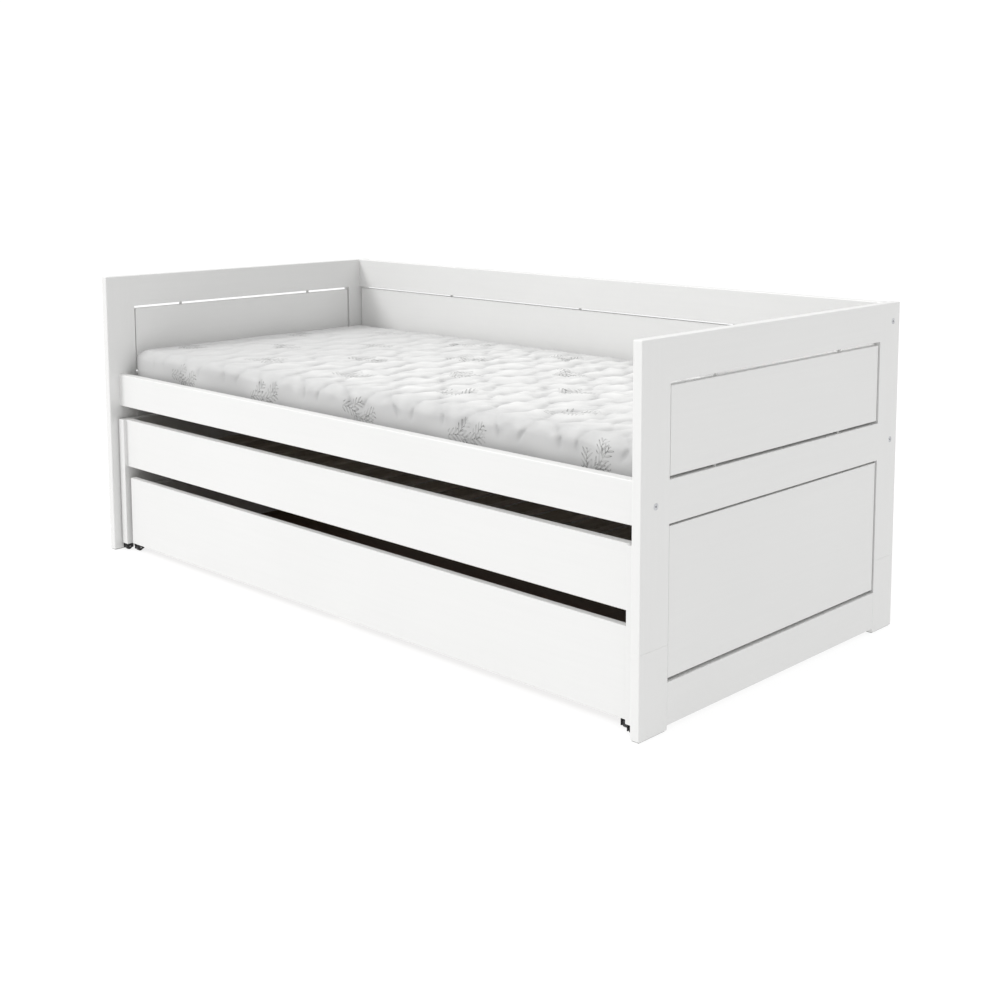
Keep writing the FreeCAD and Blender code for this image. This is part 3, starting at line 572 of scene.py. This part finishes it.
side = smooth_step(1 - np.abs(normals[:, 2]), 0.5, 0.9)
height -= side * SEAM_DEPTH * np.exp(-(((places[:, 2] - SEAM_Z) / SEAM_HALF_WIDTH) ** 2))
height += side * BORDER_WAVE * waves_noise(cloth_u, cloth_v, BORDER_WAVE_LENGTH)
drop = top_z - places[:, 2]
pucker_band = smooth_step(drop, *PUCKER_STARTS) * (1 - smooth_step(drop, *PUCKER_ENDS))
height -= side * pucker_band * slack * PUCKER_DEPTH * np.exp(-((distance / PUCKER_HALF_WIDTH) ** 2))
print("border", round((REST_HIGH.z - REST_LOW.z) / MM), "mm high, seam at", round(SEAM_Z, 3), "m")

# %% [markdown]
# The material is told two things. A value at each point, named relief, says how high the cloth
# stands there, less a painted shade, and the cloth's colour follows it: creases are painted darker
# than puffs as painted shade, and the border, the tight left end and the edges of the top are
# painted darker still. So part of the shading is painted and not cast by light. The unfolded
# coordinates become the cloth's own map, for the print and the weave.

# %% Quilting: shape the mesh and give it its relief, its painted shade and its map
BORDER_PAINTED_SHADE = 0.8  # painted shade: how much darker the border is painted than the puffs of the top
TIGHT_PAINTED_SHADE = 0.88  # painted shade where the relief is held down: most at the tight left end, less along the edges of the top
BORDER_WANDER = 6 * MM
BORDER_WANDER_LENGTH = 70 * MM
BORDER_BLEND = (4 * MM, 34 * MM)

wander = BORDER_WANDER * waves_noise(cloth_u, cloth_v, BORDER_WANDER_LENGTH)
border = smooth_step(drop + wander, *BORDER_BLEND)
# Painted shade: the border, the tight left end and the edges of the top are painted darker, though the
# cloth there is the same. The relief value, which picks the cloth's colour, is the height less this
# painted shade.
painted_shade = np.maximum(border * BORDER_PAINTED_SHADE, (1 - slack * calm) * TIGHT_PAINTED_SHADE)
relief = mattress.data.attributes.new("relief", "FLOAT", "POINT")
relief.data.foreach_set("value", (height / CREASE_DEPTH - painted_shade).astype(np.float32))
places += normals * height[:, None]
places[:, 1] = np.clip(places[:, 1], rail_front, rail_rear)
places[:, 2] = np.maximum(places[:, 2], REST_LOW.z)
set_vertices(mattress, places)
cloth_map = mattress.data.uv_layers.new(name="cloth")
loop_vertex = np.zeros(len(mattress.data.loops), np.int32)
mattress.data.loops.foreach_get("vertex_index", loop_vertex)
flat_map = np.stack([cloth_u[loop_vertex], cloth_v[loop_vertex]], axis=1)
cloth_map.data.foreach_set("uv", flat_map.astype(np.float32).ravel())
deselect_all()
mattress.select_set(True)
bpy.context.view_layer.objects.active = mattress
bpy.ops.object.shade_smooth()
lowest, highest = (round(float(z), 3) for z in (places[:, 2].min(), places[:, 2].max()))
print("mattress reaches from", lowest, "to", highest, "m above the floor")

# %% [markdown]
# The ticking is an off-white cotton jacquard with a fine plain weave, printed in grey with loose
# sprigs. A print repeats, here as a half drop: each row of the repeat is set off by half a width
# from the row before. Inside one repeat the sprig is drawn as a person would with a pen: four
# wavy twigs that cross each other, each with narrow slanted leaves on both sides. Every line is
# a place where a distance is small, so the whole sprig is a chain of Math nodes. Each repeat is
# turned by its own angle, so that the print looks scattered.

# %% Ticking
REPEAT_WIDE = 395.0  # lengths in this cell are millimetres on the cloth
REPEAT_HIGH = 208.0
PRINT_START = (63.5, 17.0)
TURN_RANGE = 1.7
LEAF_PITCH = 14.0
LEAF_HALF_WIDTH = 2.3
LEAF_HALF_LENGTH = 7.0
LEAF_REACH = 7.5
LEAF_SHADE = 0.35
PEN = 1.4
STEM_WAVE = 4.0
LEAF_SLANT = 1.1
RIM_SHARE = 0.25  # width of a leaf's outline, as a share of the leaf
TICKING_YARN = 1.5
# Painted shade and painted light: the cloth's grey runs from the first colour in the creases, on the
# border and at the tight left end to the second on the puffs, following the relief value.
COTTON_PAINTED_SHADE, COTTON_PAINTED_LIGHT = "B1B1B1", "DBDBDA"
RELIEF_TO_PAINTED_SHADE = {"From Min": -1.15, "From Max": 0.3}
INK = "767675"
INK_WEAR = {"From Min": 0.35, "From Max": 0.62, "To Min": 0.25, "To Max": 0.95}
TWIGS = [  # start across and up, direction in radians, length
    (-68.0, -3.0, 0.05, 124.0),
    (-34.0, 3.0, 0.78, 50.0),
    (-16.0, -6.0, -0.70, 48.0),
    (22.0, 5.0, 0.66, 44.0),
]

REPEAT_STEPS = [
    ("from_start_v", "SUBTRACT", "v", PRINT_START[1]),
    ("from_start_u", "SUBTRACT", "u", PRINT_START[0]),
    ("rows", "DIVIDE", "from_start_v", REPEAT_HIGH),
    ("row", "FLOOR", "rows"),
    ("odd", "FLOORED_MODULO", "row", 2.0),
    ("wide", "DIVIDE", "from_start_u", REPEAT_WIDE),
    ("columns", "MULTIPLY_ADD", "odd", 0.5, "wide"),
    ("column", "FLOOR", "columns"),
    ("column_part", "FRACT", "columns"),
    ("row_part", "FRACT", "rows"),
    ("across", "MULTIPLY_ADD", "column_part", REPEAT_WIDE, -REPEAT_WIDE / 2),
    ("up", "MULTIPLY_ADD", "row_part", REPEAT_HIGH, -REPEAT_HIGH / 2),
]
TURN_STEPS = [
    ("turn", "MULTIPLY_ADD", "chance", TURN_RANGE, -TURN_RANGE / 2),
    ("cosine", "COSINE", "turn"),
    ("sine", "SINE", "turn"),
    ("up_sine", "MULTIPLY", "up", "sine"),
    ("up_cosine", "MULTIPLY", "up", "cosine"),
    ("minus_sine", "MULTIPLY", "up_sine", -1.0),
    ("a", "MULTIPLY_ADD", "across", "cosine", "minus_sine"),
    ("b", "MULTIPLY_ADD", "across", "sine", "up_cosine"),
    ("lines", "MULTIPLY", "chance", 0.0),
]


def twig_steps(index, x, y, turn, length):
    """A wavy stem with slanted leaves that alternate on its two sides."""
    names = "dx dy dy_s dx_s along off bend_at bend off_stem gap stem side shifted slant".split()
    names += "count part leaf_x leaf_out leaf_y xx sum round rim inside shade leaf".split()
    names += "drawn past_start before_end on twig".split()
    own = {name: f"{name}{index}" for name in names}
    leaf_pitches = LEAF_PITCH / LEAF_HALF_WIDTH
    steps = [
        ("dx", "SUBTRACT", "a", x),
        ("dy", "SUBTRACT", "b", y),
        ("dy_s", "MULTIPLY", "dy", math.sin(turn)),
        ("dx_s", "MULTIPLY", "dx", -math.sin(turn)),
        ("along", "MULTIPLY_ADD", "dx", math.cos(turn), "dy_s"),
        ("off", "MULTIPLY_ADD", "dy", math.cos(turn), "dx_s"),
        ("bend_at", "DIVIDE", "along", 17.0 + 3.0 * index),
        ("bend", "SINE", "bend_at"),
        ("off_stem", "MULTIPLY_ADD", "bend", -STEM_WAVE, "off"),
        ("gap", "ABSOLUTE", "off_stem"),
        ("stem", "LESS_THAN", "gap", PEN / 2),
        ("side", "SIGN", "off_stem"),
        ("shifted", "MULTIPLY_ADD", "side", LEAF_PITCH / 4, "along"),
        ("slant", "MULTIPLY_ADD", "gap", -LEAF_SLANT, "shifted"),
        ("count", "DIVIDE", "slant", LEAF_PITCH),
        ("part", "FRACT", "count"),
        ("leaf_x", "MULTIPLY_ADD", "part", leaf_pitches, -leaf_pitches / 2),
        ("leaf_out", "SUBTRACT", "gap", LEAF_REACH),
        ("leaf_y", "DIVIDE", "leaf_out", LEAF_HALF_LENGTH),
        ("xx", "MULTIPLY", "leaf_x", "leaf_x"),
        ("sum", "MULTIPLY_ADD", "leaf_y", "leaf_y", "xx"),
        ("round", "SQRT", "sum"),
        ("rim", "COMPARE", "round", 1.0, RIM_SHARE),
        ("inside", "LESS_THAN", "round", 1.0),
        ("shade", "MULTIPLY", "inside", LEAF_SHADE),
        ("leaf", "MAXIMUM", "rim", "shade"),
        ("drawn", "MAXIMUM", "leaf", "stem"),
        ("past_start", "GREATER_THAN", "along", 0.0),
        ("before_end", "LESS_THAN", "along", length),
        ("on", "MULTIPLY", "past_start", "before_end"),
        ("twig", "MULTIPLY", "drawn", "on"),
        ("lines", "MAXIMUM", "lines", "twig"),
    ]
    return [tuple(own.get(item, item) for item in step) for step in steps]


def make_ticking():
    material, tree, shader, place = new_material("quilted_cotton_ticking")
    cloth_place = add(tree, "UVMap", {"uv_map": "cloth"})
    parts = add(tree, "SeparateXYZ", links={0: cloth_place})
    known = {}
    for name, socket in (("u", 0), ("v", 1)):
        known[name] = add(tree, "Math", {"operation": "DIVIDE", 1: MM}, {0: parts.outputs[socket]})

    def work_out(steps):
        for name, operation, *inputs in steps:
            numbers = {i: value for i, value in enumerate(inputs) if not isinstance(value, str)}
            links = {i: known[value] for i, value in enumerate(inputs) if isinstance(value, str)}
            known[name] = add(tree, "Math", {"operation": operation, **numbers}, links)

    work_out(REPEAT_STEPS)
    cell = add(tree, "CombineXYZ", links={0: known["column"], 1: known["row"]})
    known["chance"] = add(tree, "TexWhiteNoise", {"noise_dimensions": "2D"}, {"Vector": cell})
    work_out(TURN_STEPS)
    for index, twig in enumerate(TWIGS):
        work_out(twig_steps(index, *twig))
    weave = make_weave(tree, known["u"].outputs[0], known["v"].outputs[0], TICKING_YARN)
    # The relief value picks the grey: painted shade in the creases, on the border and at the tight left
    # end, and painted light on the puffs.
    relief_and_painted_shade = add(tree, "Attribute", {"attribute_name": "relief"}).outputs["Fac"]
    painted_light_share = add(tree, "MapRange", RELIEF_TO_PAINTED_SHADE, {"Value": relief_and_painted_shade})
    tones = {"data_type": "RGBA", MIX_A: linear(COTTON_PAINTED_SHADE), MIX_B: linear(COTTON_PAINTED_LIGHT)}
    ground = add(tree, "Mix", tones, {0: painted_light_share}).outputs[MIX_RESULT]
    worn = add(tree, "TexNoise", {"Scale": 55.0, "Detail": 2.0}, {"Vector": place})
    faded = add(tree, "MapRange", INK_WEAR, {"Value": worn})
    ink = add(tree, "Math", {"operation": "MULTIPLY"}, {0: known["lines"], 1: faded})
    printed = {"data_type": "RGBA", MIX_B: linear(INK)}
    colour = add(tree, "Mix", printed, {0: ink, MIX_A: ground}).outputs[MIX_RESULT]
    relief = add(tree, "Bump", {"Distance": 0.25 * MM}, {"Height": weave})
    connect(tree, shader, colour, normal=relief.outputs[0])
    shader.inputs["Roughness"].default_value = 0.85
    shader.inputs["Sheen Weight"].default_value = 0.15
    shader.inputs["Sheen Roughness"].default_value = 0.5
    return material


dress(mattress, make_ticking())
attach(mattress, "bed_frame")
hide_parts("mattress")
print("ticking nodes:", len(mattress.data.materials[0].node_tree.nodes))

# %% [markdown]
# The bed stands on a plain pale floor, far larger than the view, in a white room. The glow of the
# room is brighter overhead than near the floor, so the fronts and the top are lit well while the
# narrow gaps between them stay dark. A wide soft lamp high over the front left does the rest. The
# floor gives off most of its brightness by itself, which no real floor does, so that it comes out
# white and holds almost no shadow. The camera's own rays see a plain white backdrop and not the
# room.


# %% Floor and light
FLOOR_SIZE = 120
FLOOR_GLOW = 0.81
ROOM_LOW, ROOM_HIGH = 0.36, 1.52
BACKDROP = 1.05
LAMP_PLACE = (-8.0, -12.0, 12.0)
LAMP_TARGET = (0, 0, 0.4)
LAMP_WIDTH = 5.6
LAMP_POWER = 1390
deselect_all()
bpy.ops.mesh.primitive_plane_add(size=FLOOR_SIZE, location=(0, 0, 0))
floor = bpy.context.object
floor.name = "floor"


def make_floor_paint():
    material, tree, shader, place = new_material("pale_floor_paint")
    trowel = add(tree, "TexNoise", {"Scale": 1.5, "Detail": 3.0}, {"Vector": place})
    tones = {"data_type": "RGBA", MIX_A: linear("7E7E7E"), MIX_B: linear("808080")}
    connect(tree, shader, add(tree, "Mix", tones, {0: trowel}).outputs[MIX_RESULT])
    shader.inputs["Roughness"].default_value = 0.9
    shader.inputs["Specular IOR Level"].default_value = 0.0
    shader.inputs["Emission Color"].default_value = linear("FFFFFF")
    shader.inputs["Emission Strength"].default_value = FLOOR_GLOW
    return material


dress(floor, make_floor_paint())


def make_room():
    """A white room, brighter overhead, that the camera's own rays see as a plain backdrop."""
    world = bpy.data.worlds.new("white_room")
    world.use_nodes = True
    tree = world.node_tree
    tree.nodes.clear()
    way = add(tree, "TexCoord").outputs["Generated"]
    parts = add(tree, "SeparateXYZ", links={0: way})
    glow = add(tree, "MapRange", {"To Min": ROOM_LOW, "To Max": ROOM_HIGH}, {"Value": parts.outputs[2]})
    path = add(tree, "LightPath").outputs["Is Camera Ray"]
    backdrop = {"data_type": "FLOAT", 3: BACKDROP}  # 2 and 3 are the number sockets of a Mix node
    strength = add(tree, "Mix", backdrop, {0: path, 2: glow})
    background = add(tree, "Background", links={"Strength": strength})
    add(tree, "OutputWorld", links={"Surface": background})
    background.inputs["Color"].default_value = linear("FFFFFF")
    return world


bpy.context.scene.world = make_room()


def soft_lamp(name, place, target, size, power):
    lamp = bpy.data.objects.new(name, bpy.data.lights.new(name, "AREA"))
    bpy.context.scene.collection.objects.link(lamp)
    lamp.data.shape = "DISK"
    lamp.data.size = size
    lamp.data.energy = power
    lamp.location = place
    lamp.rotation_mode = "QUATERNION"
    lamp.rotation_quaternion = (Vector(target) - Vector(place)).to_track_quat("-Z", "Y")
    return lamp


soft_lamp("front_lamp", LAMP_PLACE, LAMP_TARGET, LAMP_WIDTH, LAMP_POWER)
print("lamp", LAMP_WIDTH, "m wide, power", LAMP_POWER, "W, and a floor", FLOOR_SIZE, "m wide")
